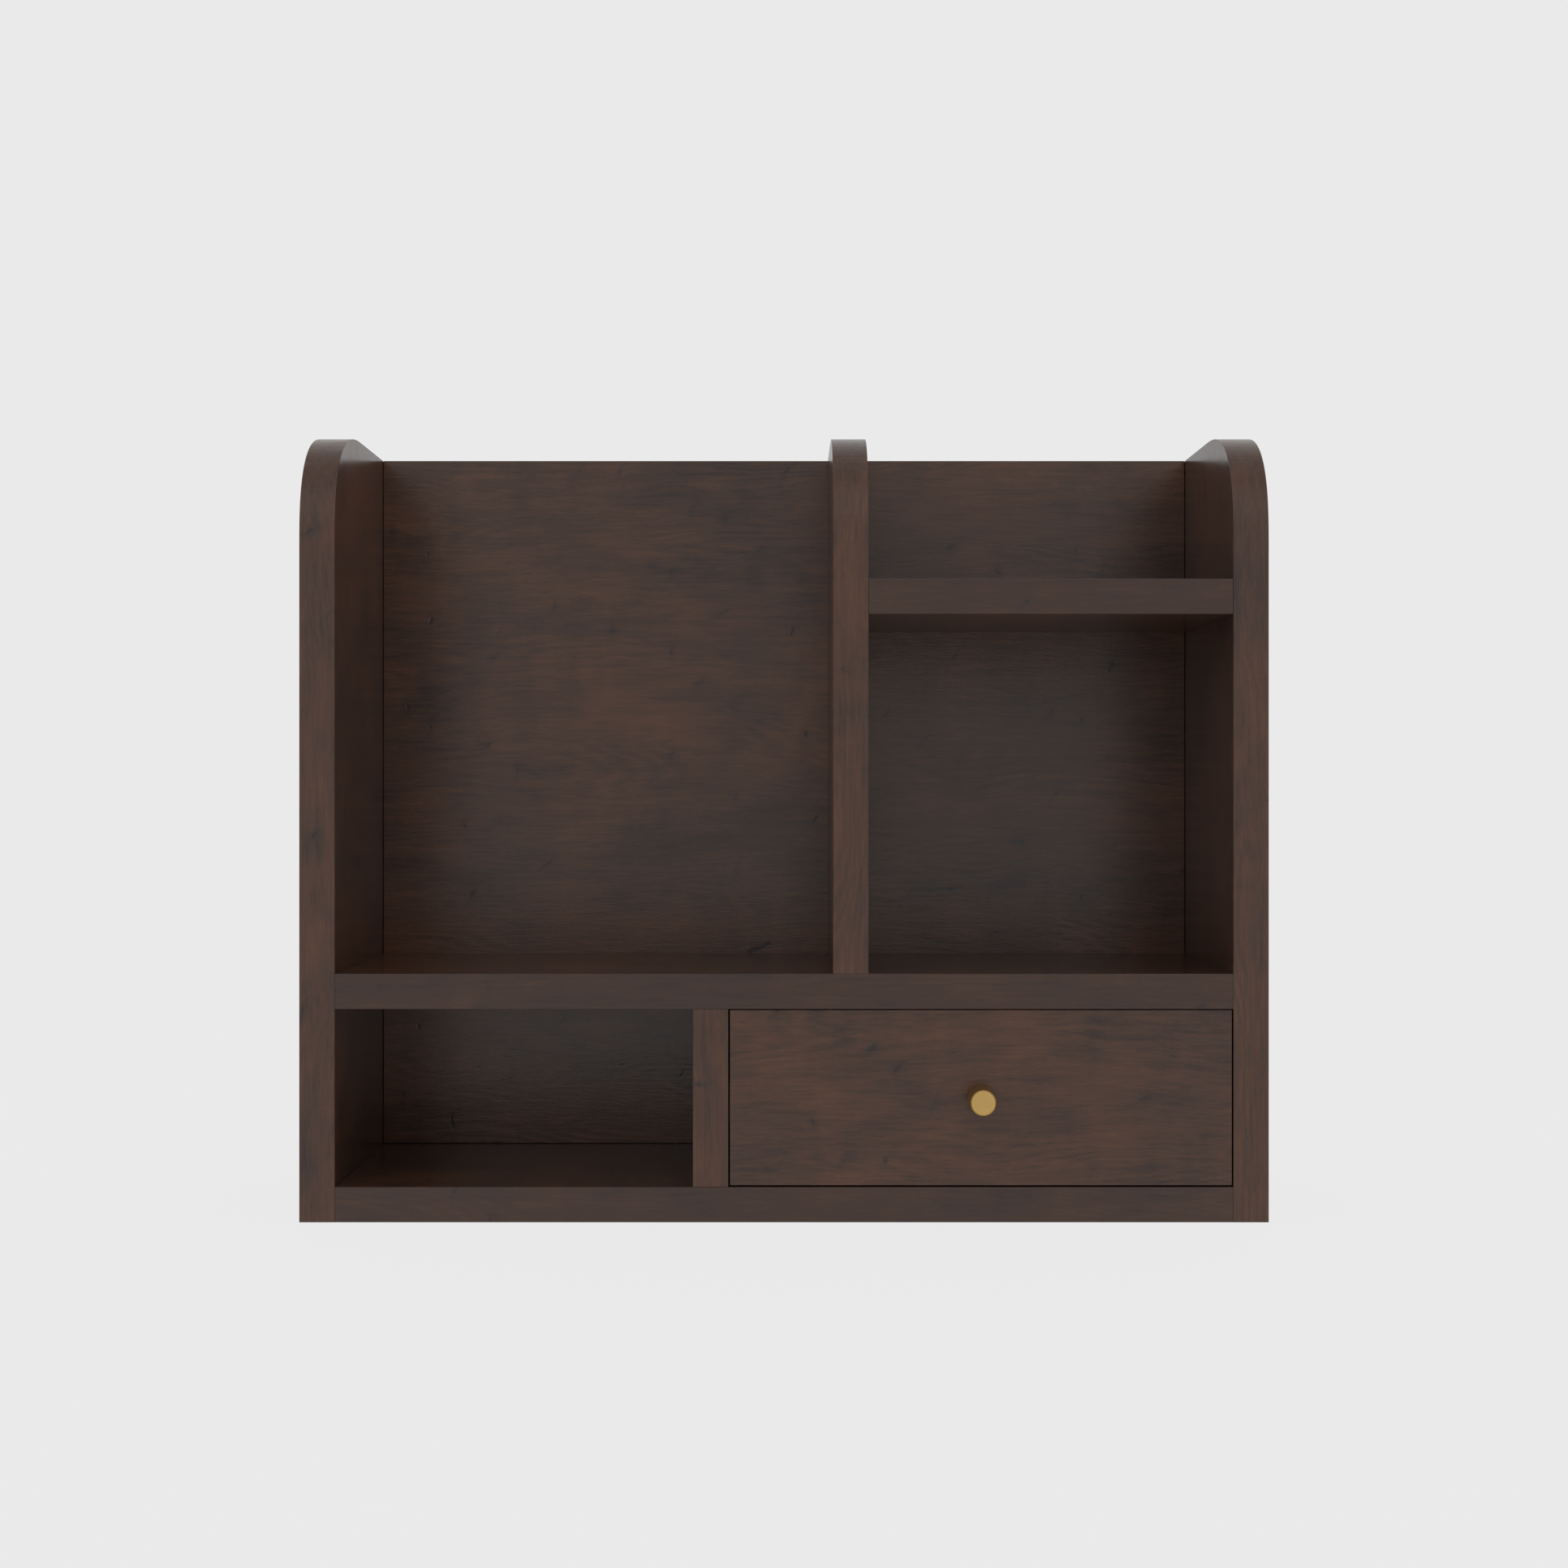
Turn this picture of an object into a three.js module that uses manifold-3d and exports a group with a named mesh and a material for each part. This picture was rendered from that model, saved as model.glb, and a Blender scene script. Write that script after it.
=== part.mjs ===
// Desk hutch: a free-standing open shelf unit of thick boards, with one inset drawer.
//
// Frame: millimetres. +X is to the right of someone facing the hutch, +Y points from the front to the
// back and +Z is up. The origin is the middle of the bottom panel's underside, on the desk top.
//
// The two side panels stand full height and their front top corners are rounded over. The bottom panel
// and the middle shelf fit between them. The back panel has a thinner tongue along its sides and its foot,
// which sits in a rebate in the side panels and the bottom panel, behind a narrow shadow gap.
// A lower divider splits the bottom row into an open cubby and the drawer bay. An upper divider
// with the same rounded corner stands on the middle shelf, and an upper shelf spans from it to the right
// side. The drawer runs on two ball-bearing slides.

import * as THREE from 'three';
import { mergeVertices } from 'three/addons/utils/BufferGeometryUtils.js';
import Module from 'manifold-3d';

const wasm = await Module();
wasm.setup();

// ---------------------------------------------------------------- driving dimensions

const WIDTH = 700;
const HEIGHT = 578;
const DEPTH = 203;
const BOARD = 25.5;
const BACK_BOARD = 12;
const BACK_PANEL_GAP = 0.5;
const BACK_TONGUE_SETBACK = 4;
const BACK_REBATE_WIDTH = 8;
const BACK_REBATE_DEPTH = 4;

const MIDDLE_SHELF_BOTTOM = 154;
const UPPER_SHELF_BOTTOM = 439.25;
const LOWER_DIVIDER_CENTRE = -53;
const UPPER_DIVIDER_CENTRE = 48.25;

// The rounded front top corner is a quarter of a superellipse, a little squarer than an ellipse.
const CORNER_DEPTH = 100;
const CORNER_DROP = 88;
const CORNER_EXPONENT = 2.57;
const CORNER_STEPS = 28;

const DRAWER_FRONT_BOARD = 18;
const DRAWER_SIDE_REVEAL = 1.2;
const DRAWER_TOP_REVEAL = 0.7;
const DRAWER_BOX_BOARD = 12;
const DRAWER_BOX_DEPTH = 160;
const DRAWER_BOX_HEIGHT = 96;
const DRAWER_BOX_LIFT = 10;
const DRAWER_BOTTOM_BOARD = 4;
const DRAWER_BOTTOM_LIFT = 10;
const GROOVE_DEPTH = 6;

const KNOB_DIAMETER = 20;
const KNOB_PROJECTION = 22.5;
const KNOB_EDGE_RADIUS = 1;
const KNOB_BORE_DEPTH = 9;
const KNOB_DROP = 0.8;

const SLIDE_LENGTH = 150;
const SLIDE_TRAVEL = 105;
const SLIDE_SPACE = 10;
const SLIDE_HEIGHT = 27;
const RAIL_SHEET = 1.2;
const RAIL_FRONT_SETBACK = 2;

// Clearance left round each fastener in its hole, and depth left free past its end.
const CLEARANCE = 0.3;
const HOLE_END_ROOM = 0.5;

// How far a cutting tool passes the face that it opens.
const OVERSHOOT = 1;

// Flats round a drilled hole, a small fastener, a cam and the knob.
const HOLE_SEGMENTS = 10;
const SCREW_SEGMENTS = 10;
const CAM_SEGMENTS = 16;
const KNOB_SEGMENTS = 32;
const KNOB_RIM_STEPS = 3;
const BALL_SEGMENTS = 8;
const BALL_RINGS = 6;

// ---------------------------------------------------------------- places worked out from them

const FRONT_Y = -DEPTH / 2;
const REAR_Y = DEPTH / 2;
const BACK_PANEL_FACE = REAR_Y - BACK_BOARD;
const BACK_TONGUE_FACE = BACK_PANEL_FACE + BACK_TONGUE_SETBACK;
const BACK_REBATE_FLOOR = BOARD - BACK_REBATE_DEPTH;
const OUTER_X = WIDTH / 2;
const INNER_X = OUTER_X - BOARD;
const MIDDLE_SHELF_TOP = MIDDLE_SHELF_BOTTOM + BOARD;
const UPPER_SHELF_TOP = UPPER_SHELF_BOTTOM + BOARD;
const UPPER_DIVIDER_RIGHT = UPPER_DIVIDER_CENTRE + BOARD / 2;
const LOWER_DIVIDER_RIGHT = LOWER_DIVIDER_CENTRE + BOARD / 2;
const MIDDLE_MID_Z = MIDDLE_SHELF_BOTTOM + BOARD / 2;
const UPPER_MID_Z = UPPER_SHELF_BOTTOM + BOARD / 2;

const DRAWER_FRONT = {
  left: LOWER_DIVIDER_RIGHT + DRAWER_SIDE_REVEAL,
  right: INNER_X - DRAWER_SIDE_REVEAL,
  bottom: BOARD + DRAWER_SIDE_REVEAL,
  top: MIDDLE_SHELF_BOTTOM - DRAWER_TOP_REVEAL,
};
const DRAWER_FRONT_BACK = FRONT_Y + DRAWER_FRONT_BOARD;
const BOX = {
  left: LOWER_DIVIDER_RIGHT + SLIDE_SPACE,
  right: INNER_X - SLIDE_SPACE,
  front: DRAWER_FRONT_BACK,
  back: DRAWER_FRONT_BACK + DRAWER_BOX_DEPTH,
  bottom: BOARD + DRAWER_BOX_LIFT,
  top: BOARD + DRAWER_BOX_LIFT + DRAWER_BOX_HEIGHT,
};
const KNOB_X = (DRAWER_FRONT.left + DRAWER_FRONT.right) / 2;
const KNOB_Z = (DRAWER_FRONT.bottom + DRAWER_FRONT.top) / 2 - KNOB_DROP;
const SLIDE_Z = (BOX.bottom + BOX.top) / 2;
const SLIDE_FRONT = DRAWER_FRONT_BACK + RAIL_FRONT_SETBACK;
const SLIDE_BACK = SLIDE_FRONT + SLIDE_LENGTH;

// ---------------------------------------------------------------- materials

const material = (color, roughness, metalness) =>
  new THREE.MeshStandardMaterial({ color, roughness, metalness });

const walnut = () => material(0x4b3c37, 0.38, 0);
const drawerBoxBoard = () => material(0x54463f, 0.55, 0);
const hardboard = () => material(0x5a4a40, 0.7, 0);
const brass = () => material(0xae9258, 0.32, 1);
const zincSteel = () => material(0xb4b7b8, 0.35, 1);
const blackSteel = () => material(0x2d2c2c, 0.5, 0.2);
const castZinc = () => material(0x8d8f91, 0.5, 1);
const beech = () => material(0xc9a878, 0.7, 0);

// ---------------------------------------------------------------- solids and booleans

const WELD_DISTANCE = 1e-4;
const COORDINATES = 3;

function toSolid(geometry) {
  const bare = geometry.clone();
  bare.deleteAttribute('normal');
  bare.deleteAttribute('uv');
  const merged = mergeVertices(bare, WELD_DISTANCE);
  return new wasm.Manifold(new wasm.Mesh({
    numProp: COORDINATES,
    vertProperties: new Float32Array(merged.attributes.position.array),
    triVerts: new Uint32Array(merged.index.array),
  }));
}

function toGeometry(solid) {
  const mesh = solid.getMesh();
  const geometry = new THREE.BufferGeometry();
  geometry.setAttribute('position', new THREE.BufferAttribute(mesh.vertProperties, COORDINATES));
  geometry.setIndex(new THREE.BufferAttribute(mesh.triVerts, 1));
  geometry.computeVertexNormals();
  return geometry;
}

function cut(geometry, tools) {
  let solid = toSolid(geometry);
  for (const tool of tools) {
    solid = solid.subtract(toSolid(tool));
  }
  return toGeometry(solid);
}

function join(geometries) {
  let solid = toSolid(geometries[0]);
  for (const geometry of geometries.slice(1)) {
    solid = solid.add(toSolid(geometry));
  }
  return toGeometry(solid);
}

// A block between two corners.
function block(x0, x1, y0, y1, z0, z1) {
  const geometry = new THREE.BoxGeometry(x1 - x0, y1 - y0, z1 - z0);
  geometry.translate((x0 + x1) / 2, (y0 + y1) / 2, (z0 + z1) / 2);
  return geometry;
}

// A turned shape: profile holds [radius, distance along the axis] pairs. It is aimed along direction,
// and distance 0 lies at the point start.
function turned(profile, start, direction, segments) {
  const points = profile.map(([radius, along]) => new THREE.Vector2(radius, along));
  const geometry = new THREE.LatheGeometry(points, segments);
  const aim = new THREE.Quaternion().setFromUnitVectors(new THREE.Vector3(0, 1, 0), direction);
  geometry.applyQuaternion(aim);
  geometry.translate(start.x, start.y, start.z);
  return geometry;
}

// The space that a drill leaves: radius and depth from start.
function bore(radius, depth, start, direction, segments = HOLE_SEGMENTS) {
  return turned([[0, 0], [radius, 0], [radius, depth], [0, depth]], start, direction, segments);
}

const at = (x, y, z) => new THREE.Vector3(x, y, z);
const LEFT = at(-1, 0, 0);
const RIGHT = at(1, 0, 0);
const FORWARD = at(0, -1, 0);
const BACKWARD = at(0, 1, 0);
const UP = at(0, 0, 1);
const DOWN = at(0, 0, -1);

const hutch = new THREE.Group();

function addPiece(name, geometry, pieceMaterial) {
  const mesh = new THREE.Mesh(geometry, pieceMaterial);
  mesh.name = name;
  hutch.add(mesh);
}

// ---------------------------------------------------------------- fasteners
// Each kind has a profile, and a matching hole that is larger by the clearance all round.

// Connecting bolt: screwed into one board, its ball head reaches into the cam in the other.
const CAM_SETBACK = 24;
const BOLT = {
  threadRadius: 2.5, threadLength: 11, collarRadius: 3, collarLength: 3, neckRadius: 2, headRadius: 3,
  headLength: 4, chamfer: 1,
};
const BOLT_SHAFT_PLAY = 1;

function camBolt(start, direction) {
  const neckEnd = CAM_SETBACK - BOLT.headLength / 2;
  const profile = [
    [0, -BOLT.threadLength],
    [BOLT.threadRadius, -BOLT.threadLength + BOLT.chamfer],
    [BOLT.threadRadius, 0],
    [BOLT.collarRadius, 0],
    [BOLT.collarRadius, BOLT.collarLength],
    [BOLT.neckRadius, BOLT.collarLength + BOLT.chamfer],
    [BOLT.neckRadius, neckEnd],
    [BOLT.headRadius, neckEnd + BOLT.chamfer],
    [BOLT.headRadius, neckEnd + BOLT.headLength - BOLT.chamfer],
    [0, neckEnd + BOLT.headLength],
  ];
  return turned(profile, start, direction, SCREW_SEGMENTS);
}

const boltThreadHole = (start, direction) =>
  bore(BOLT.threadRadius + CLEARANCE, BOLT.threadLength + HOLE_END_ROOM, start, direction);
const boltShaftHole = (start, direction) =>
  bore(BOLT.headRadius + BOLT_SHAFT_PLAY, CAM_SETBACK, start, direction);

// Cam: a drum let into the face of a board, open on the side where the bolt's head comes in.
const CAM = { radius: 7.2, height: 17, recess: 0.5 };
const BOLT_PLAY = 0.8;
const CAM_SLOT = { halfLength: 4.5, halfWidth: 0.8, depth: 2.2 };

function cam(start, direction, boltSide, boltHeight) {
  const drum = bore(CAM.radius, CAM.height, start, direction, CAM_SEGMENTS);
  const boltAxis = start.clone().addScaledVector(direction, boltHeight);
  const mouth = bore(BOLT.headRadius + BOLT_PLAY, CAM.radius + OVERSHOOT, boltAxis, boltSide);
  const headRoom = bore(BOLT.headRadius + BOLT_PLAY, BOLT.headLength, boltAxis, boltSide.clone().negate());
  const { halfLength, halfWidth, depth } = CAM_SLOT;
  const slots = [
    block(-halfLength, halfLength, -halfWidth, halfWidth, -OVERSHOOT, depth),
    block(-halfWidth, halfWidth, -halfLength, halfLength, -OVERSHOOT, depth),
  ];
  const turn = new THREE.Quaternion().setFromUnitVectors(UP, direction);
  for (const slot of slots) {
    slot.applyQuaternion(turn);
    slot.translate(start.x, start.y, start.z);
  }
  return cut(drum, [mouth, headRoom, ...slots]);
}

const camHole = (face, direction) =>
  bore(CAM.radius + CLEARANCE, CAM.recess + CAM.height + HOLE_END_ROOM, face, direction, CAM_SEGMENTS);

// Screw with a flat countersunk head, flush with the face that it starts from.
function countersunkScrew(size, start, direction) {
  const { headRadius, shankRadius, length, tip } = size;
  const coneDepth = headRadius - shankRadius;
  const profile = [
    [0, CLEARANCE + size.driveDepth],
    [size.driveRadius, CLEARANCE],
    [headRadius, CLEARANCE],
    [shankRadius, CLEARANCE + coneDepth],
    [shankRadius, length - tip],
    [0, length],
  ];
  return turned(profile, start, direction, SCREW_SEGMENTS);
}

function countersunkHole(size, depth, start, direction) {
  const coneTop = size.headRadius + CLEARANCE;
  const holeRadius = size.shankRadius + CLEARANCE;
  const coneEnd = CLEARANCE + coneTop - holeRadius;
  const profile = [
    [0, -OVERSHOOT],
    [coneTop, -OVERSHOOT],
    [coneTop, CLEARANCE],
    [holeRadius, coneEnd],
    [holeRadius, depth],
    [0, depth],
  ];
  return turned(profile, start, direction, HOLE_SEGMENTS);
}

// Screw with a low round head that stands on the face it starts from. The head narrows to its flat top
// from part of the way up.
const HEAD_TOP_SHARE = 0.75;
const HEAD_SIDE_SHARE = 0.45;

function roundHeadScrew(size, start, direction) {
  const { headRadius, headHeight, shankRadius, length, tip } = size;
  const profile = [
    [0, -headHeight + size.driveDepth],
    [size.driveRadius, -headHeight],
    [headRadius * HEAD_TOP_SHARE, -headHeight],
    [headRadius, -headHeight * HEAD_SIDE_SHARE],
    [headRadius, -CLEARANCE],
    [shankRadius, -CLEARANCE],
    [shankRadius, length - tip],
    [tip > 0 ? 0 : shankRadius, length],
    ...(tip > 0 ? [] : [[0, length]]),
  ];
  return turned(profile, start, direction, SCREW_SEGMENTS);
}

const DIVIDER_SCREW = {
  headRadius: 5, shankRadius: 3, length: 58, tip: 4, driveRadius: 2, driveDepth: 2,
};
const BACK_SCREW = {
  headRadius: 4, shankRadius: 2, length: 35, tip: 4, driveRadius: 1.6, driveDepth: 1.6,
};
const RAIL_SCREW = {
  headRadius: 3, shankRadius: 1.75, length: 12, tip: 2.5, driveRadius: 1.2, driveDepth: 0.9,
};
const DRAWER_RAIL_SCREW = {
  headRadius: 3, headHeight: 1.9, shankRadius: 1.75, length: 10, tip: 2.5, driveRadius: 1.2,
  driveDepth: 0.9,
};
const DRAWER_FRONT_SCREW = {
  headRadius: 4, headHeight: 2.8, shankRadius: 2, length: 25, tip: 4, driveRadius: 1.6, driveDepth: 1.4,
};
const KNOB_SCREW = {
  headRadius: 4, headHeight: 2.8, shankRadius: 2, length: 38, tip: 0, driveRadius: 1.6, driveDepth: 1.4,
};

// Grooved wooden dowel, half of it in each board.
const DOWEL = { radius: 4, half: 13, chamfer: 1 };

function dowel(middle, direction) {
  const { radius, half, chamfer } = DOWEL;
  const profile = [
    [0, -half],
    [radius - chamfer, -half],
    [radius, -half + chamfer],
    [radius, half - chamfer],
    [radius - chamfer, half],
    [0, half],
  ];
  return turned(profile, middle, direction, SCREW_SEGMENTS);
}

const dowelHole = (start, direction) =>
  bore(DOWEL.radius + CLEARANCE, DOWEL.half + HOLE_END_ROOM, start, direction);

// ---------------------------------------------------------------- where the fasteners are

const FRONT_ROW = -60;
const REAR_ROW = 60;
const REAR_ROW_BEHIND_PANEL = 50;
const MIDDLE_CAM_Y = -40;
const SHELF_BACK_SCREW_X = 190;
const DIVIDER_BACK_SCREW_LOW = 320;
const DIVIDER_BACK_SCREW_HIGH = 530;
const RAIL_SCREW_INSET = 22;
const DRAWER_FRONT_SCREW_OFFSET = 110;

// Every cam joint: the height of its shelf's underside and its place from front to back.
const camJoints = [
  { name: 'bottom_front', z: 0, y: FRONT_ROW },
  { name: 'bottom_rear', z: 0, y: REAR_ROW },
  { name: 'middle', z: MIDDLE_SHELF_BOTTOM, y: MIDDLE_CAM_Y },
];
const sides = [
  { name: 'left', sign: -1, inward: RIGHT, outward: LEFT },
  { name: 'right', sign: 1, inward: LEFT, outward: RIGHT },
];
const dividerRows = [
  { name: 'front', y: FRONT_ROW },
  { name: 'rear', y: REAR_ROW_BEHIND_PANEL },
];
const backScrewPlaces = [
  { name: 'middle_shelf_left', x: -SHELF_BACK_SCREW_X, z: MIDDLE_MID_Z },
  { name: 'middle_shelf_right', x: SHELF_BACK_SCREW_X, z: MIDDLE_MID_Z },
  { name: 'upper_divider_low', x: UPPER_DIVIDER_CENTRE, z: DIVIDER_BACK_SCREW_LOW },
  { name: 'upper_divider_high', x: UPPER_DIVIDER_CENTRE, z: DIVIDER_BACK_SCREW_HIGH },
  { name: 'upper_shelf', x: (UPPER_DIVIDER_RIGHT + INNER_X) / 2, z: UPPER_MID_Z },
  { name: 'lower_divider', x: LOWER_DIVIDER_CENTRE, z: (BOARD + MIDDLE_SHELF_BOTTOM) / 2 },
];
const railScrewRows = [
  { name: 'front', y: SLIDE_FRONT + RAIL_SCREW_INSET },
  { name: 'rear', y: SLIDE_BACK - RAIL_SCREW_INSET },
];

const backScrewHoles = () => backScrewPlaces.map(({ x, z }) =>
  countersunkHole(BACK_SCREW, BACK_SCREW.length + HOLE_END_ROOM, at(x, REAR_Y, z), FORWARD));

// ---------------------------------------------------------------- boards

// Outline of an upright board with the rounded front top corner, drawn in the plane of depth and
// height, and made solid across the board's thickness.
function roundedUpright(xLeft, bottom, rear) {
  const outline = new THREE.Shape();
  outline.moveTo(FRONT_Y, bottom);
  outline.lineTo(rear, bottom);
  outline.lineTo(rear, HEIGHT);
  const power = 2 / CORNER_EXPONENT;
  for (let step = 0; step <= CORNER_STEPS; step += 1) {
    const angle = (Math.PI / 2) * (1 - step / CORNER_STEPS);
    const across = step === 0 ? 0 : Math.cos(angle) ** power;
    const upward = step === CORNER_STEPS ? 0 : Math.sin(angle) ** power;
    outline.lineTo(
      FRONT_Y + CORNER_DEPTH * (1 - across),
      HEIGHT - CORNER_DROP * (1 - upward),
    );
  }
  outline.closePath();
  const geometry = new THREE.ExtrudeGeometry(outline, { depth: BOARD, bevelEnabled: false });
  // The outline's own axes become depth and height, and the extrusion runs along +X.
  const axes = new THREE.Matrix4().makeBasis(BACKWARD, UP, RIGHT);
  geometry.applyMatrix4(axes);
  geometry.translate(xLeft, 0, 0);
  return geometry;
}

// The step that holds the back panel's tongue, cut out of the rear inner edges of the side panels and of
// the bottom panel.
const backRebate = () => block(
  -INNER_X - BACK_REBATE_WIDTH, INNER_X + BACK_REBATE_WIDTH,
  BACK_TONGUE_FACE, REAR_Y + OVERSHOOT,
  BACK_REBATE_FLOOR, HEIGHT + OVERSHOOT,
);

function addSidePanels() {
  for (const { name, sign, outward } of sides) {
    const cuts = camJoints.map(({ z, y }) =>
      boltThreadHole(at(sign * INNER_X, y, z + BOARD / 2), outward));
    cuts.push(backRebate());
    if (sign > 0) {
      for (const { y } of dividerRows) {
        cuts.push(dowelHole(at(INNER_X, y, UPPER_MID_Z), outward));
      }
      cuts.push(...cabinetRailHoles(sign));
    }
    const xLeft = sign < 0 ? -OUTER_X : INNER_X;
    addPiece(`${name}_side_panel`, cut(roundedUpright(xLeft, 0, REAR_Y), cuts), walnut());
  }
}

// Holes of a cabinet rail's screws, through the rail and into the board that it is fixed to.
function cabinetRailHoles(sign) {
  const face = sign < 0 ? LOWER_DIVIDER_RIGHT : INNER_X;
  return railScrewRows.map(({ y }) => countersunkHole(
    RAIL_SCREW, RAIL_SCREW.length + HOLE_END_ROOM, at(face - sign * RAIL_SHEET, y, SLIDE_Z),
    sign < 0 ? LEFT : RIGHT,
  ));
}

// Holes in a shelf for its cams and bolts, at both of its ends.
function camHoles(joints) {
  const holes = [];
  for (const { z, y } of joints) {
    for (const { sign, inward } of sides) {
      holes.push(boltShaftHole(at(sign * INNER_X, y, z + BOARD / 2), inward));
      holes.push(camHole(at(sign * (INNER_X - CAM_SETBACK), y, z), UP));
    }
  }
  return holes;
}

function addBottomPanel() {
  const cuts = camHoles(camJoints.filter(({ z }) => z === 0));
  for (const { y } of dividerRows) {
    cuts.push(countersunkHole(DIVIDER_SCREW, BOARD + OVERSHOOT, at(LOWER_DIVIDER_CENTRE, y, 0), UP));
  }
  cuts.push(backRebate());
  addPiece(
    'bottom_panel',
    cut(block(-INNER_X, INNER_X, FRONT_Y, REAR_Y, 0, BOARD), cuts),
    walnut(),
  );
}

function addMiddleShelf() {
  const holes = camHoles(camJoints.filter(({ z }) => z === MIDDLE_SHELF_BOTTOM));
  for (const { y } of dividerRows) {
    const face = at(UPPER_DIVIDER_CENTRE, y, MIDDLE_SHELF_BOTTOM);
    holes.push(countersunkHole(DIVIDER_SCREW, BOARD + OVERSHOOT, face, UP));
    holes.push(dowelHole(at(LOWER_DIVIDER_CENTRE, y, MIDDLE_SHELF_BOTTOM), UP));
  }
  const board = block(
    -INNER_X, INNER_X, FRONT_Y, BACK_PANEL_FACE, MIDDLE_SHELF_BOTTOM, MIDDLE_SHELF_TOP,
  );
  addPiece('middle_shelf', cut(board, [...holes, ...backScrewHoles()]), walnut());
}

function addLowerDivider() {
  const xLeft = LOWER_DIVIDER_CENTRE - BOARD / 2;
  const holes = [];
  for (const { y } of dividerRows) {
    const foot = at(LOWER_DIVIDER_CENTRE, y, 0);
    holes.push(bore(DIVIDER_SCREW.shankRadius + CLEARANCE, DIVIDER_SCREW.length + HOLE_END_ROOM, foot, UP));
    holes.push(dowelHole(at(LOWER_DIVIDER_CENTRE, y, MIDDLE_SHELF_BOTTOM), DOWN));
  }
  holes.push(...cabinetRailHoles(-1));
  const board = block(
    xLeft, LOWER_DIVIDER_RIGHT, FRONT_Y, BACK_PANEL_FACE, BOARD, MIDDLE_SHELF_BOTTOM,
  );
  addPiece('lower_divider', cut(board, [...holes, ...backScrewHoles()]), walnut());
}

function addUpperDivider() {
  const holes = [];
  for (const { y } of dividerRows) {
    const foot = at(UPPER_DIVIDER_CENTRE, y, MIDDLE_SHELF_BOTTOM);
    holes.push(bore(DIVIDER_SCREW.shankRadius + CLEARANCE, DIVIDER_SCREW.length + HOLE_END_ROOM, foot, UP));
    holes.push(dowelHole(at(UPPER_DIVIDER_RIGHT, y, UPPER_MID_Z), LEFT));
  }
  const board = roundedUpright(UPPER_DIVIDER_CENTRE - BOARD / 2, MIDDLE_SHELF_TOP, BACK_PANEL_FACE);
  addPiece('upper_divider', cut(board, [...holes, ...backScrewHoles()]), walnut());
}

function addUpperShelf() {
  const holes = [];
  for (const { y } of dividerRows) {
    holes.push(dowelHole(at(UPPER_DIVIDER_RIGHT, y, UPPER_MID_Z), RIGHT));
    holes.push(dowelHole(at(INNER_X, y, UPPER_MID_Z), LEFT));
  }
  const board = block(
    UPPER_DIVIDER_RIGHT, INNER_X, FRONT_Y, BACK_PANEL_FACE, UPPER_SHELF_BOTTOM, UPPER_SHELF_TOP,
  );
  addPiece('upper_shelf', cut(board, [...holes, ...backScrewHoles()]), walnut());
}

function addBackPanel() {
  const faceHalfWidth = INNER_X - BACK_PANEL_GAP;
  const face = block(
    -faceHalfWidth, faceHalfWidth,
    BACK_PANEL_FACE, REAR_Y,
    BOARD + BACK_PANEL_GAP, HEIGHT,
  );
  const tongueHalfWidth = INNER_X + BACK_REBATE_WIDTH - BACK_PANEL_GAP;
  const tongue = block(
    -tongueHalfWidth, tongueHalfWidth,
    BACK_TONGUE_FACE, REAR_Y,
    BACK_REBATE_FLOOR + BACK_PANEL_GAP, HEIGHT,
  );
  addPiece('back_panel', cut(join([face, tongue]), backScrewHoles()), walnut());
}

// ---------------------------------------------------------------- carcass fasteners

function addCarcassFasteners() {
  for (const { name, z, y } of camJoints) {
    for (const side of sides) {
      const boltStart = at(side.sign * INNER_X, y, z + BOARD / 2);
      const camStart = at(side.sign * (INNER_X - CAM_SETBACK), y, z + CAM.recess);
      addPiece(`${side.name}_${name}_cam_bolt`, camBolt(boltStart, side.inward), zincSteel());
      addPiece(
        `${side.name}_${name}_cam`,
        cam(camStart, UP, side.outward, BOARD / 2 - CAM.recess),
        castZinc(),
      );
    }
  }
  for (const { name, y } of dividerRows) {
    addPiece(
      `lower_divider_${name}_screw`,
      countersunkScrew(DIVIDER_SCREW, at(LOWER_DIVIDER_CENTRE, y, 0), UP),
      zincSteel(),
    );
    addPiece(
      `upper_divider_${name}_screw`,
      countersunkScrew(DIVIDER_SCREW, at(UPPER_DIVIDER_CENTRE, y, MIDDLE_SHELF_BOTTOM), UP),
      zincSteel(),
    );
    addPiece(
      `lower_divider_${name}_dowel`,
      dowel(at(LOWER_DIVIDER_CENTRE, y, MIDDLE_SHELF_BOTTOM), UP),
      beech(),
    );
    const leftEnd = at(UPPER_DIVIDER_RIGHT, y, UPPER_MID_Z);
    const rightEnd = at(INNER_X, y, UPPER_MID_Z);
    addPiece(`upper_shelf_left_${name}_dowel`, dowel(leftEnd, RIGHT), beech());
    addPiece(`upper_shelf_right_${name}_dowel`, dowel(rightEnd, RIGHT), beech());
  }
  for (const { name, x, z } of backScrewPlaces) {
    addPiece(`${name}_back_screw`, countersunkScrew(BACK_SCREW, at(x, REAR_Y, z), FORWARD), zincSteel());
  }
}

// ---------------------------------------------------------------- drawer

const drawerFrontScrewPlaces = [
  { name: 'left', x: KNOB_X - DRAWER_FRONT_SCREW_OFFSET },
  { name: 'right', x: KNOB_X + DRAWER_FRONT_SCREW_OFFSET },
];
const BOX_FRONT_INNER = BOX.front + DRAWER_BOX_BOARD;
const BOX_BACK_INNER = BOX.back - DRAWER_BOX_BOARD;

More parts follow.
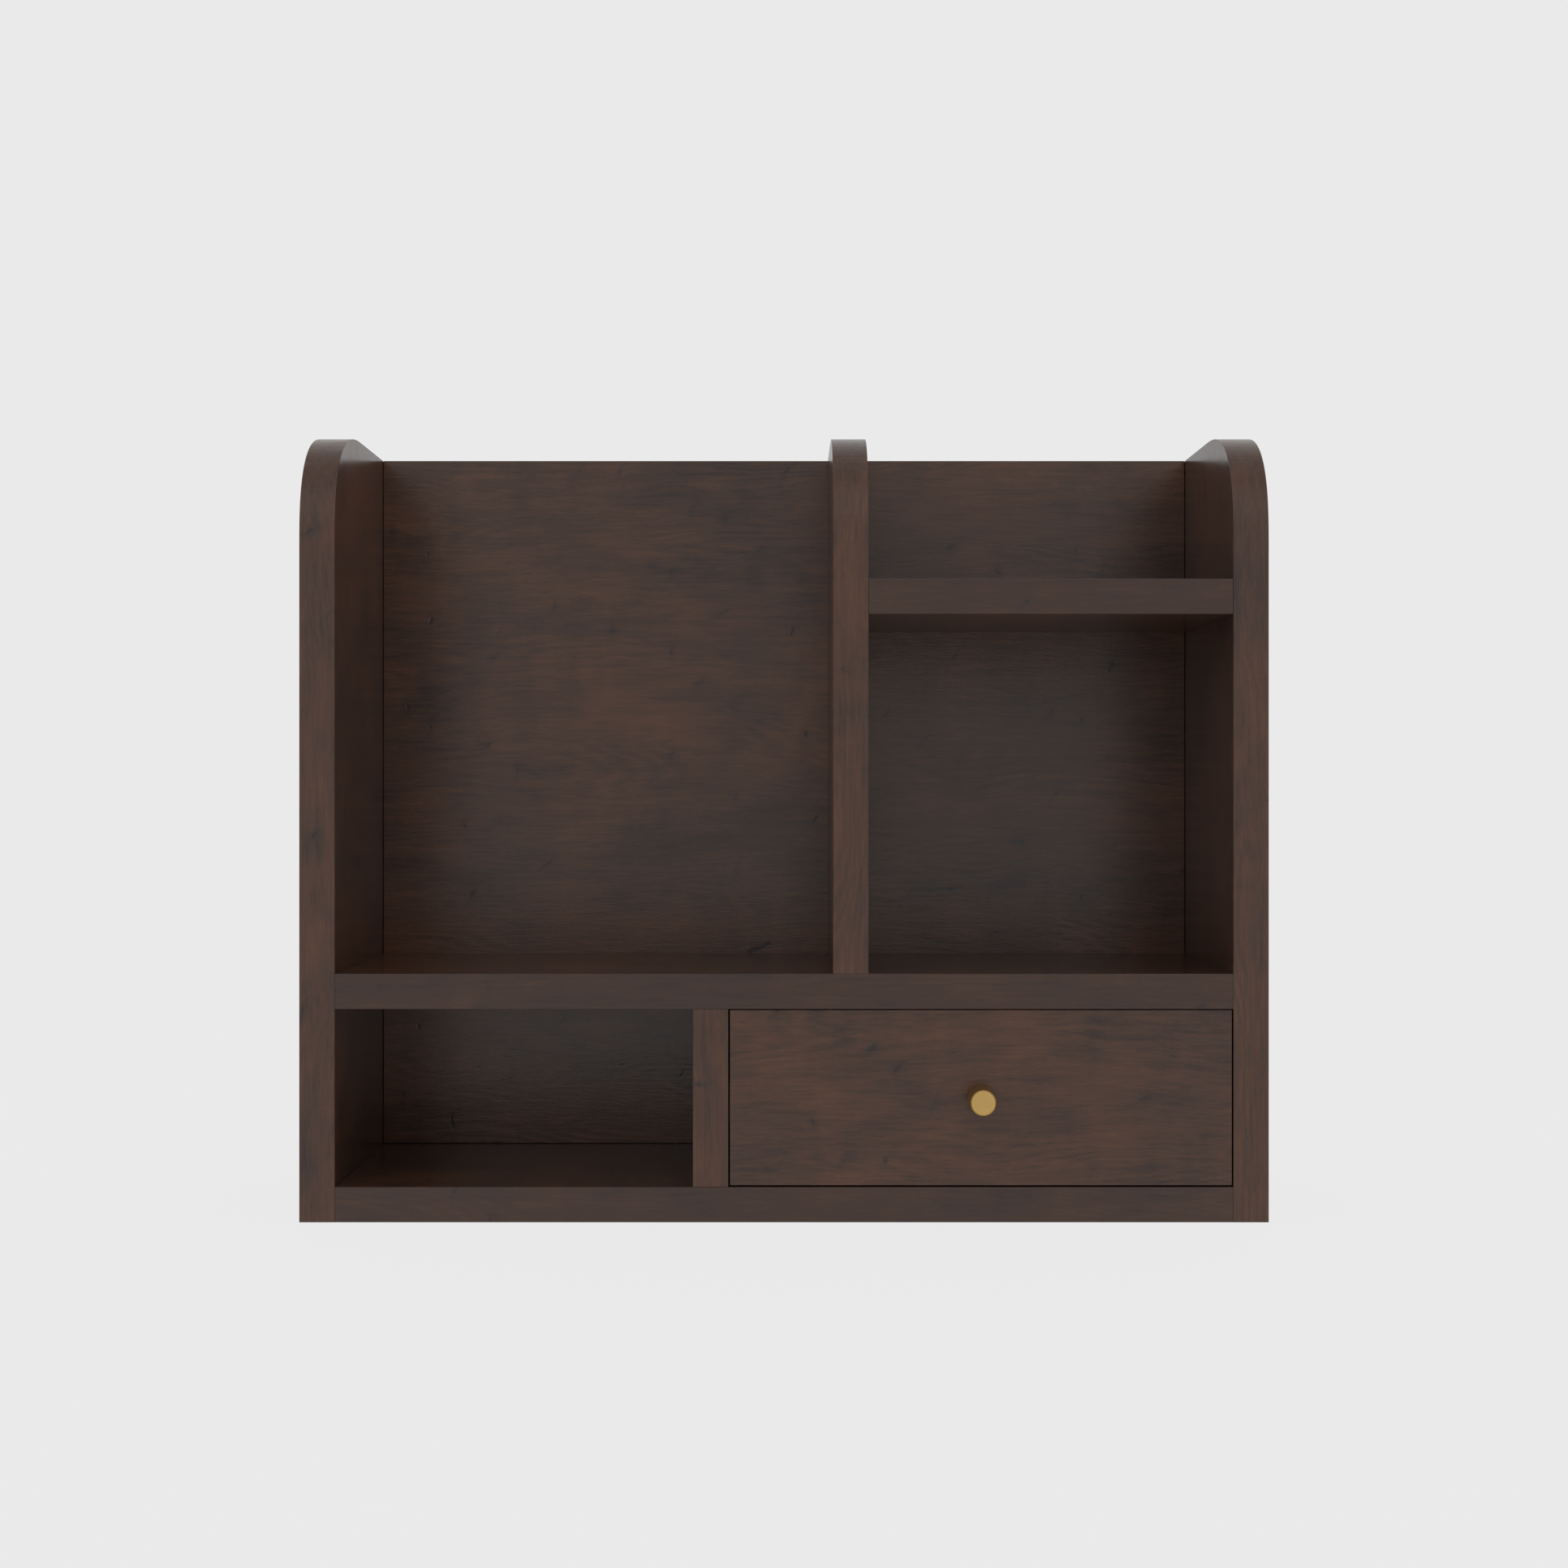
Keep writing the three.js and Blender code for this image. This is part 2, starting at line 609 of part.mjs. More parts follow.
// Holes of the knob's screw and the drawer front's screws, all started from inside the box.
function drawerFrontHoles() {
  const places = drawerFrontScrewPlaces.map(({ x }) => ({ x, screw: DRAWER_FRONT_SCREW }));
  places.push({ x: KNOB_X, screw: KNOB_SCREW });
  return places.map(({ x, screw }) => bore(
    screw.shankRadius + CLEARANCE, screw.length + HOLE_END_ROOM + OVERSHOOT,
    at(x, BOX_FRONT_INNER + OVERSHOOT, KNOB_Z), FORWARD,
  ));
}

// The groove that the drawer bottom slides into, as one block through all four box boards.
const bottomGroove = () => block(
  BOX.left + DRAWER_BOX_BOARD - GROOVE_DEPTH, BOX.right - DRAWER_BOX_BOARD + GROOVE_DEPTH,
  BOX_FRONT_INNER - GROOVE_DEPTH, BOX_BACK_INNER + GROOVE_DEPTH,
  BOX.bottom + DRAWER_BOTTOM_LIFT,
  BOX.bottom + DRAWER_BOTTOM_LIFT + DRAWER_BOTTOM_BOARD + 2 * CLEARANCE,
);

function addDrawer() {
  const front = block(
    DRAWER_FRONT.left, DRAWER_FRONT.right, FRONT_Y, DRAWER_FRONT_BACK,
    DRAWER_FRONT.bottom, DRAWER_FRONT.top,
  );
  addPiece('drawer_front', cut(front, drawerFrontHoles()), walnut());

  const innerLeft = BOX.left + DRAWER_BOX_BOARD;
  const innerRight = BOX.right - DRAWER_BOX_BOARD;
  const boxFront = block(innerLeft, innerRight, BOX.front, BOX_FRONT_INNER, BOX.bottom, BOX.top);
  addPiece('drawer_box_front', cut(boxFront, [...drawerFrontHoles(), bottomGroove()]), drawerBoxBoard());

  const boxBack = block(innerLeft, innerRight, BOX_BACK_INNER, BOX.back, BOX.bottom, BOX.top);
  addPiece('drawer_box_back', cut(boxBack, [bottomGroove()]), drawerBoxBoard());

  for (const { name, sign } of sides) {
    const outer = sign < 0 ? BOX.left : BOX.right;
    const inner = outer - sign * DRAWER_BOX_BOARD;
    const board = block(
      Math.min(outer, inner), Math.max(outer, inner), BOX.front, BOX.back, BOX.bottom, BOX.top,
    );
    const pilots = railScrewRows.map(({ y }) => bore(
      DRAWER_RAIL_SCREW.shankRadius + CLEARANCE, DRAWER_RAIL_SCREW.length - RAIL_SHEET + HOLE_END_ROOM,
      at(outer, y, SLIDE_Z), sign < 0 ? RIGHT : LEFT,
    ));
    addPiece(`drawer_${name}_side`, cut(board, [bottomGroove(), ...pilots]), drawerBoxBoard());
  }

  const lift = BOX.bottom + DRAWER_BOTTOM_LIFT + CLEARANCE;
  const bottom = block(
    innerLeft - GROOVE_DEPTH + HOLE_END_ROOM, innerRight + GROOVE_DEPTH - HOLE_END_ROOM,
    BOX_FRONT_INNER - GROOVE_DEPTH + HOLE_END_ROOM, BOX_BACK_INNER + GROOVE_DEPTH - HOLE_END_ROOM,
    lift, lift + DRAWER_BOTTOM_BOARD,
  );
  addPiece('drawer_bottom', bottom, hardboard());

  for (const { name, x } of drawerFrontScrewPlaces) {
    const head = at(x, BOX_FRONT_INNER, KNOB_Z);
    addPiece(`drawer_front_${name}_screw`, roundHeadScrew(DRAWER_FRONT_SCREW, head, FORWARD), zincSteel());
  }
}

// The knob is a plain turned drum with a softened rim and a blind bore for its screw.
function addKnob() {
  const radius = KNOB_DIAMETER / 2;
  const boreRadius = KNOB_SCREW.shankRadius + CLEARANCE;
  const profile = [
    [0, KNOB_BORE_DEPTH],
    [boreRadius, KNOB_BORE_DEPTH],
    [boreRadius, 0],
    [radius, 0],
  ];
  for (let step = 0; step <= KNOB_RIM_STEPS; step += 1) {
    const angle = (Math.PI / 2) * (step / KNOB_RIM_STEPS);
    profile.push([
      radius - KNOB_EDGE_RADIUS * (1 - Math.cos(angle)),
      KNOB_PROJECTION - KNOB_EDGE_RADIUS * (1 - Math.sin(angle)),
    ]);
  }
  profile.push([0, KNOB_PROJECTION]);
  addPiece('knob', turned(profile, at(KNOB_X, FRONT_Y, KNOB_Z), FORWARD, KNOB_SEGMENTS), brass());
  const head = at(KNOB_X, BOX_FRONT_INNER, KNOB_Z);
  addPiece('knob_screw', roundHeadScrew(KNOB_SCREW, head, FORWARD), zincSteel());
}

// ---------------------------------------------------------------- ball-bearing slides
// Across the slide, distance 0 is the carcass face and SLIDE_SPACE is the drawer box's face. The rails
// are pressed channels that face each other, and balls held in a cage run between their flanges.

const DRAWER_RAIL_HALF_HEIGHT = 7.3;
const DRAWER_RAIL_START = 3.1;
const CABINET_FLANGE_REACH = 9.3;
const CABINET_LIP_DROP = 3.5;
const BALL_RADIUS = 2.2;
const BALL_ACROSS = 5.6;
const BALL_PITCH = 11;
const CAGE_PLATE_START = 1.6;
const CAGE_SHEET = 1;
const CAGE_ARM_REACH = 7.7;
const CAGE_LENGTH = SLIDE_LENGTH - SLIDE_TRAVEL;

// A block across the slide: from and to are distances from the carcass face, low and high are heights
// about the slide's middle, and sign says on which end of the bay the slide is.
function slideBlock(sign, from, to, y0, y1, low, high) {
  const face = sign < 0 ? LOWER_DIVIDER_RIGHT : INNER_X;
  const a = face - sign * from;
  const b = face - sign * to;
  return block(Math.min(a, b), Math.max(a, b), y0, y1, SLIDE_Z + low, SLIDE_Z + high);
}

function cabinetRail(sign) {
  const half = SLIDE_HEIGHT / 2;
  const span = [SLIDE_FRONT, SLIDE_BACK];
  const lipStart = CABINET_FLANGE_REACH - RAIL_SHEET;
  const channel = join([
    slideBlock(sign, 0, RAIL_SHEET, ...span, -half, half),
    slideBlock(sign, 0, CABINET_FLANGE_REACH, ...span, half - RAIL_SHEET, half),
    slideBlock(sign, 0, CABINET_FLANGE_REACH, ...span, -half, -half + RAIL_SHEET),
    slideBlock(sign, lipStart, CABINET_FLANGE_REACH, ...span, half - CABINET_LIP_DROP, half),
    slideBlock(sign, lipStart, CABINET_FLANGE_REACH, ...span, -half, -half + CABINET_LIP_DROP),
  ]);
  return cut(channel, cabinetRailHoles(sign));
}

function drawerRail(sign) {
  const half = DRAWER_RAIL_HALF_HEIGHT;
  const span = [SLIDE_FRONT, SLIDE_BACK];
  const channel = join([
    slideBlock(sign, SLIDE_SPACE - RAIL_SHEET, SLIDE_SPACE, ...span, -half, half),
    slideBlock(sign, DRAWER_RAIL_START, SLIDE_SPACE, ...span, half - RAIL_SHEET, half),
    slideBlock(sign, DRAWER_RAIL_START, SLIDE_SPACE, ...span, -half, -half + RAIL_SHEET),
  ]);
  const face = sign < 0 ? BOX.left : BOX.right;
  const holes = railScrewRows.map(({ y }) => bore(
    DRAWER_RAIL_SCREW.shankRadius + CLEARANCE, RAIL_SHEET + 2 * OVERSHOOT,
    at(face + sign * (RAIL_SHEET + OVERSHOOT), y, SLIDE_Z), sign < 0 ? RIGHT : LEFT,
  ));
  return cut(channel, holes);
}

function ballCage(sign) {
  const middle = (SLIDE_FRONT + SLIDE_BACK) / 2;
  const span = [middle - CAGE_LENGTH / 2, middle + CAGE_LENGTH / 2];
  const raceHeight = (DRAWER_RAIL_HALF_HEIGHT + SLIDE_HEIGHT / 2 - RAIL_SHEET) / 2;
  const half = raceHeight + CAGE_SHEET / 2;
  const pieces = [
    slideBlock(sign, CAGE_PLATE_START, CAGE_PLATE_START + CAGE_SHEET, ...span, -half, half),
    slideBlock(sign, CAGE_PLATE_START, CAGE_ARM_REACH, ...span, half - CAGE_SHEET, half),
    slideBlock(sign, CAGE_PLATE_START, CAGE_ARM_REACH, ...span, -half, -half + CAGE_SHEET),
  ];
  const face = sign < 0 ? LOWER_DIVIDER_RIGHT : INNER_X;
  const ballCount = Math.floor((CAGE_LENGTH - 2 * BALL_RADIUS) / BALL_PITCH);
  for (const level of [-raceHeight, raceHeight]) {
    for (let index = 0; index < ballCount; index += 1) {
      const ball = new THREE.SphereGeometry(BALL_RADIUS, BALL_SEGMENTS, BALL_RINGS);
      const along = middle + (index - (ballCount - 1) / 2) * BALL_PITCH;
      ball.translate(face - sign * BALL_ACROSS, along, SLIDE_Z + level);
      pieces.push(ball);
    }
  }
  return join(pieces);
}

function addSlides() {
  for (const { name, sign, inward, outward } of sides) {
    addPiece(`${name}_cabinet_rail`, cabinetRail(sign), blackSteel());
    addPiece(`${name}_ball_cage`, ballCage(sign), blackSteel());
    addPiece(`${name}_drawer_rail`, drawerRail(sign), blackSteel());
    const carcassFace = sign < 0 ? LOWER_DIVIDER_RIGHT : INNER_X;
    const boxFace = sign < 0 ? BOX.left : BOX.right;
    for (const row of railScrewRows) {
      addPiece(
        `${name}_cabinet_rail_${row.name}_screw`,
        countersunkScrew(RAIL_SCREW, at(carcassFace - sign * RAIL_SHEET, row.y, SLIDE_Z), outward),
        zincSteel(),
      );
      addPiece(
        `${name}_drawer_rail_${row.name}_screw`,
        roundHeadScrew(DRAWER_RAIL_SCREW, at(boxFace + sign * RAIL_SHEET, row.y, SLIDE_Z), inward),
        zincSteel(),
      );
    }
  }
}

// ---------------------------------------------------------------- assembly

addSidePanels();
addBottomPanel();
addMiddleShelf();
addLowerDivider();
addUpperDivider();
addUpperShelf();
addBackPanel();
addCarcassFasteners();
addDrawer();
addKnob();
addSlides();

export default hutch;
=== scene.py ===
"""Desk hutch: dark walnut boards, a satin brass knob and plated steel fittings, in a pale studio."""

import math

import bmesh
import bpy
from mathutils import Matrix, Vector


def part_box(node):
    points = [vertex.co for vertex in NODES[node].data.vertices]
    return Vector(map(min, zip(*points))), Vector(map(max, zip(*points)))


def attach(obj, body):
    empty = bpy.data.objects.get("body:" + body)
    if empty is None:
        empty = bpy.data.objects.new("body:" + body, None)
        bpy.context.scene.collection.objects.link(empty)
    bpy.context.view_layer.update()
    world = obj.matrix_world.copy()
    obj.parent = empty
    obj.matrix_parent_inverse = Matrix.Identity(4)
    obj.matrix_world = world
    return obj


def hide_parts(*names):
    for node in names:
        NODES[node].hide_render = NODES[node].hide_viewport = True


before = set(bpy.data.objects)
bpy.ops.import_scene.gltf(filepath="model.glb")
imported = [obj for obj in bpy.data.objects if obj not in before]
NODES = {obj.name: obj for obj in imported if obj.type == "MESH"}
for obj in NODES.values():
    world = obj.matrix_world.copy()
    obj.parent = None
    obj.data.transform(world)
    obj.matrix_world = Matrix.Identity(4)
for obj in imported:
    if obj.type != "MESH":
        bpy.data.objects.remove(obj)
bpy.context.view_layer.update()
MM = 0.001


# ---------------------------------------------------------------- places read from the frame

FRONT_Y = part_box("left_side_panel")[0].y
BASE_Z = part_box("left_side_panel")[0].z
KNOB_LOW, KNOB_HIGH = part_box("knob")
KNOB_CENTRE = (KNOB_LOW + KNOB_HIGH) / 2
BACK_PANEL_CENTRE = tuple(sum(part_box("back_panel"), Vector()) / 2)
FORWARD = Vector((0, -1, 0))


# ---------------------------------------------------------------- camera
# A level 50 mm view, straight on, from about eye height of someone seated at the desk.

CAMERA_DISTANCE = 1.5723
CAMERA_HEIGHT = 0.3165
LENS_MM = 50
SENSOR_MM = 36
FAR_CLIP = 100


def make_camera():
    data = bpy.data.cameras.new("studio_camera")
    data.lens = LENS_MM
    data.sensor_width = SENSOR_MM
    data.clip_end = FAR_CLIP
    camera = bpy.data.objects.new("studio_camera", data)
    camera.location = (0, FRONT_Y - CAMERA_DISTANCE, BASE_Z + CAMERA_HEIGHT)
    camera.rotation_euler = (math.radians(90), 0, 0)
    bpy.context.scene.collection.objects.link(camera)
    bpy.context.scene.camera = camera


# ---------------------------------------------------------------- shader graph helper

class Graph:
    """Builds one material's node tree, each call returning the socket that carries its result."""

    def __init__(self, owner):
        """owner is the world, or the name of a new material."""
        self.owner = bpy.data.materials.new(owner) if isinstance(owner, str) else owner
        self.owner.use_nodes = True
        self.tree = self.owner.node_tree
        self.tree.nodes.clear()
        self.position = self.node("ShaderNodeTexCoord").outputs["Object"]

    def node(self, kind, inputs=(), **settings):
        made = self.tree.nodes.new(kind)
        for name, value in settings.items():
            setattr(made, name, value)
        for name, value in dict(inputs).items():
            self.feed(made.inputs[name], value)
        return made

    def feed(self, socket, value):
        if isinstance(value, bpy.types.NodeSocket):
            self.tree.links.new(value, socket)
        else:
            socket.default_value = value

    def math(self, operation, a, b=0.0):
        return self.node("ShaderNodeMath", {0: a, 1: b}, operation=operation).outputs[0]

    def vector(self, operation, a, b=(0, 0, 0)):
        made = self.node("ShaderNodeVectorMath", {0: a, 1: b}, operation=operation)
        return made.outputs["Value" if operation == "LENGTH" else "Vector"]

    def combine(self, x, y, z):
        return self.node("ShaderNodeCombineXYZ", {"X": x, "Y": y, "Z": z}).outputs[0]

    def parts(self, vector):
        return self.node("ShaderNodeSeparateXYZ", {"Vector": vector}).outputs

    def total(self, first, *rest):
        for value in rest:
            first = self.math("ADD", first, value)
        return first

    def swing(self, value, share):
        """A 0 to 1 value turned into one that swings about zero by share."""
        return self.math("MULTIPLY", self.math("SUBTRACT", value, 0.5), share)

    def noise(self, place, detail=2.0, roughness=0.5):
        return self.node("ShaderNodeTexNoise", {
            "Vector": place, "Scale": 1.0, "Detail": detail, "Roughness": roughness,
        }).outputs["Fac"]

    def speckle(self, along_x, along_y, along_z, **settings):
        """Noise with this many features per metre along each axis of the shared frame."""
        return self.noise(self.vector("MULTIPLY", self.position, (along_x, along_y, along_z)), **settings)

    def remap(self, value, low, high, to_low=0.0, to_high=1.0, smooth=True):
        return self.node("ShaderNodeMapRange", {
            "Value": value, "From Min": low, "From Max": high, "To Min": to_low, "To Max": to_high,
        }, interpolation_type="SMOOTHSTEP" if smooth else "LINEAR").outputs["Result"]

    def mix(self, factor, a, b):
        """One colour blended into another, each given as a socket or as red, green and blue."""
        a, b = (value if isinstance(value, bpy.types.NodeSocket) else (*value, 1) for value in (a, b))
        return self.node("ShaderNodeMix", {0: factor, 6: a, 7: b}, data_type="RGBA").outputs[2]

    def ramp(self, value, stops, smooth=True):
        """Levels or colours by value: stops holds (place, level) or (place, colour) pairs."""
        made = self.node("ShaderNodeValToRGB", {"Fac": value})
        made.color_ramp.interpolation = "EASE" if smooth else "LINEAR"
        elements = made.color_ramp.elements
        elements.remove(elements[1])
        for index, (place, level) in enumerate(stops):
            element = elements[0] if index == 0 else elements.new(place)
            element.position = place
            element.color = (*level, 1) if isinstance(level, tuple) else (level, level, level, 1)
        return made.outputs["Color"]

    def bump(self, height, strength, distance, normal=None):
        made = self.node("ShaderNodeBump", {"Height": height, "Strength": strength, "Distance": distance})
        if normal:
            self.feed(made.inputs["Normal"], normal)
        return made.outputs["Normal"]

    def crowned_normal(self, centre, crown):
        """The surface normal, fanned out from centre by crown radians per metre in X and Z."""
        away = self.vector("MULTIPLY", self.vector("SUBTRACT", self.position, centre), (crown, 0, crown))
        fanned = self.vector("ADD", self.node("ShaderNodeNewGeometry").outputs["Normal"], away)
        return self.vector("NORMALIZE", fanned)

    def output(self, shader, kind="ShaderNodeOutputMaterial"):
        """Ends the graph with this shader, and returns the material or the world."""
        self.node(kind, {"Surface": shader.outputs[0]})
        return self.owner

    def finish(self, **sockets):
        """Ends the graph with a surface shader that has these inputs, and returns the material."""
        shader = self.node("ShaderNodeBsdfPrincipled")
        for name, value in sockets.items():
            self.feed(shader.inputs[name.replace("_", " ")], value)
        return self.output(shader)


# ---------------------------------------------------------------- walnut
# Plain-sawn wood under a dark stain. One value, the stain's warmth, runs from smoky to reddish brown, and
# every feature of the grain raises or lowers it; so does a painted shade line at a shelf's two ends.

GRAIN_ORDER = {"x": "XYZ", "y": "YXZ", "z": "ZXY"}

# The stain's colours, from the smokiest at 0 to the warmest at 1, which are the two ends of WARMTH_RANGE.
STAIN = (
    (0.0, (0.0130, 0.0085, 0.0080)), (0.25, (0.0405, 0.0185, 0.0115)), (0.5, (0.0710, 0.0298, 0.0157)),
    (0.75, (0.1015, 0.0410, 0.0200)), (1.0, (0.1320, 0.0522, 0.0243)),
)
WARMTH_RANGE = (-0.5, 1.5)
SMOKY = 0.16
BROWN = 0.47

# How much each feature of the grain raises the warmth, or lowers it where the number is negative.
DRIFT_WARMTH = 1.5
PATCH_WARMTH = 1.3
CURL_WARMTH = 0.7
STREAK_WARMTH = 0.75
HAIR_WARMTH = 1.6
FIBRE_WARMTH = 0.9
LINE_WARMTH = 0.13
DASH_WARMTH = -0.2
HALO_WARMTH = -0.22
# Painted shade: a dark line at a shelf's two ends, standing in for the shade in its joints with the upright
# boards, not a feature of the grain.
JOINT_SHADE_WARMTH = -1.2

# Curl and dashes come and go: they fade in as a noise of their own rises through these levels.
CURL_FADE_IN = (0.46, 0.62)
DASH_FADE_IN = (0.60, 0.74)

KNOT_COLOUR = (0.011, 0.010, 0.011)
KNOT_COVER = 0.75

# How much each feature stands above the face, or lies below it, as shares of RELIEF_DEPTH.
HAIR_RELIEF = 0.8
FIBRE_RELIEF = 0.8
LINE_RELIEF = 0.15
KNOT_RELIEF = -0.8
RELIEF_DEPTH = 0.14 * MM

SATIN_ROUGHNESS = (0.17, 0.23)

# A shelf's front edge has its own strip of veneer, plainer than the faces, which ends between these depths.
EDGE_CONTRAST = 0.5
EDGE_STRIP = (FRONT_Y + 0.4 * MM, FRONT_Y + 0.6 * MM)
# How wide the painted shade line is at a shelf's two ends, a dark line that stands in for the shade in its
# joints.
JOINT_SHADE_WIDTH = 0.5 * MM
# The back panel bows a little, by this many radians per metre from its middle.
PANEL_CROWN = 0.17


class Grain:
    """Coordinates in metres that run along the grain in X and across it in Y and Z, gently bent.

    Figure is broader from front to back, as on boards whose wide faces are cut along the rings.
    """

    DEPTH_SHARE = 0.6
    SLOW_SWAY = 30 * MM
    QUICK_SWAY = 6 * MM
    LINE_TURNS = 110.0
    LINE_JITTER = 0.04
    LINES_FADE_IN = (0.47, 0.60)
    # Knots lie in the cells of a slanted net. Sizes are shares of a cell.
    KNOT_SPACING = (60 * MM, 32 * MM, 1.0)
    KNOT_SLANT = math.radians(62)
    KNOT_SWAY = 30 * MM
    KNOT_RAGGEDNESS = 8 * MM
    EMPTY_CELLS = 0.55
    HALO_FADE_IN = (0.55, 0.65)
    KNOT_SIZE = 0.055
    CORE_EDGE = (-0.035, 0.03)
    HALO_SIZE = 0.20

    def __init__(self, graph, axis, start):
        self.graph = graph
        parts = graph.parts(graph.vector("MULTIPLY", graph.position, (1, self.DEPTH_SHARE, 1)))
        ordered = [parts[letter] for letter in GRAIN_ORDER[axis]]
        straight = graph.vector("ADD", graph.combine(*ordered), start)
        slow = graph.math("MULTIPLY", self.noise(3, 6, straight, detail=1), self.SLOW_SWAY)
        quick = graph.math("MULTIPLY", self.noise(16, 34, straight, detail=2), self.QUICK_SWAY)
        shift = graph.math("ADD", slow, quick)
        self.bent = graph.vector("ADD", straight, graph.combine(0.0, shift, shift))

    def noise(self, along, across, place=None, **settings):
        """Noise with this many features per metre along and across the grain."""
        stretched = self.graph.vector("MULTIPLY", place or self.bent, (along, across, across))
        return self.graph.noise(stretched, **settings)

    def growth_lines(self):
        """Thin lines along the contours of a slow field, nested into arches where the field peaks."""
        graph = self.graph
        field = self.noise(4, 21, detail=1)
        jitter = graph.swing(self.noise(40, 160, detail=2), self.LINE_JITTER)
        turns = graph.math("MULTIPLY", graph.math("ADD", field, jitter), self.LINE_TURNS)
        shown = graph.remap(self.noise(7, 26, detail=1), *self.LINES_FADE_IN)
        return graph.math("MULTIPLY", graph.math("SINE", turns), shown)

    def pin_knots(self):
        """How deep a point is inside a small slanted knot, and inside the dark halo around it, 0 to 1."""
        graph = self.graph
        parts = graph.parts(self.bent)
        ragged = graph.swing(self.noise(150, 210, detail=3), self.KNOT_RAGGEDNESS)
        sway = graph.swing(self.noise(34, 40, detail=1), self.KNOT_SWAY)
        along = graph.total(parts["X"], ragged, sway)
        across = graph.total(parts["Y"], parts["Z"], ragged)
        slanted = graph.node("ShaderNodeMapping", {
            "Vector": graph.combine(along, across, 0.0),
            "Rotation": (0.0, 0.0, self.KNOT_SLANT), "Scale": self.KNOT_SPACING,
        }, vector_type="TEXTURE")
        cells = graph.node("ShaderNodeTexVoronoi", {
            "Vector": slanted.outputs[0], "Scale": 1.0, "Randomness": 1.0,
        }, voronoi_dimensions="2D")
        draw = graph.node("ShaderNodeSeparateColor", {"Color": cells.outputs["Color"]}).outputs["Red"]
        size = graph.remap(draw, self.EMPTY_CELLS, 1.0, 0.0, self.KNOT_SIZE, smooth=False)
        inside = graph.math("SUBTRACT", size, cells.outputs["Distance"])
        core = graph.remap(inside, *self.CORE_EDGE)
        chosen = graph.remap(draw, *self.HALO_FADE_IN)
        return core, graph.math("MULTIPLY", graph.remap(inside, -self.HALO_SIZE, 0.0), chosen)


def walnut(name, axis, start, face_warmth=BROWN, edge_warmth=None, crown_centre=None, ends=None):
    """Veneered board. Where edge_warmth is given, its front edge carries a strip of another veneer, and its
    ends, two places in X where it butts against upright boards, carry a dark line of painted shade that
    stands in for the joints' shade."""
    graph = Graph(name)
    grain = Grain(graph, axis, start)
    warmth, contrast = face_warmth, 1.0
    if edge_warmth is not None:
        across, depth, _ = graph.parts(graph.position)
        contrast = graph.remap(depth, *EDGE_STRIP, EDGE_CONTRAST, 1.0, smooth=False)
        strip_warmth = graph.remap(depth, *EDGE_STRIP, edge_warmth, face_warmth, smooth=False)
        # Painted shade: the warmth drops to a dark line near the board's two ends, standing in for the shade
        # in the joints.
        off_centre = graph.math("ABSOLUTE", graph.math("SUBTRACT", across, sum(ends) / 2))
        half = (ends[1] - ends[0]) / 2
        painted_joint_shade = graph.remap(off_centre, half - JOINT_SHADE_WIDTH, half - JOINT_SHADE_WIDTH / 2, 0.0, JOINT_SHADE_WARMTH)
        warmth = graph.math("ADD", strip_warmth, painted_joint_shade)

    drift = grain.noise(4, 9, detail=2)
    patches = grain.noise(16, 28, detail=4)
    curl = grain.noise(55, 12, detail=2)
    curl_share = graph.remap(grain.noise(7, 12, detail=1), *CURL_FADE_IN, 0.0, CURL_WARMTH)
    streaks = grain.noise(14, 110, detail=3, roughness=0.55)
    hairs = grain.noise(24, 480, detail=4, roughness=0.72)
    fibres = grain.noise(170, 1600, detail=3, roughness=0.65)
    dashes = graph.remap(grain.noise(50, 820, detail=1), *DASH_FADE_IN)
    lines = grain.growth_lines()
    core, halo = grain.pin_knots()

    features = graph.total(
        graph.swing(drift, DRIFT_WARMTH), graph.swing(patches, PATCH_WARMTH),
        graph.swing(curl, curl_share), graph.swing(streaks, STREAK_WARMTH),
        graph.swing(hairs, HAIR_WARMTH), graph.swing(fibres, FIBRE_WARMTH),
        graph.math("MULTIPLY", lines, LINE_WARMTH), graph.math("MULTIPLY", dashes, DASH_WARMTH),
        graph.math("MULTIPLY", halo, HALO_WARMTH),
    )
    level = graph.math("ADD", graph.math("MULTIPLY", features, contrast), warmth)
    stain = graph.ramp(graph.remap(level, *WARMTH_RANGE, smooth=False), STAIN, smooth=False)
    relief = graph.total(
        graph.math("MULTIPLY", hairs, HAIR_RELIEF), graph.math("MULTIPLY", fibres, FIBRE_RELIEF),
        graph.math("MULTIPLY", lines, LINE_RELIEF), graph.math("MULTIPLY", core, KNOT_RELIEF),
    )
    cloud = graph.math("ADD", streaks, drift)
    normal = graph.crowned_normal(crown_centre, PANEL_CROWN) if crown_centre else None
    return graph.finish(
        Base_Color=graph.mix(graph.math("MULTIPLY", core, KNOT_COVER), stain, KNOT_COLOUR),
        Roughness=graph.remap(cloud, 0.7, 1.3, *SATIN_ROUGHNESS, smooth=False),
        Normal=graph.bump(relief, 1.0, RELIEF_DEPTH, normal),
    )


# ---------------------------------------------------------------- other materials

# A pair holds the darkest and palest colour of a finish, or its smoothest and roughest spots.

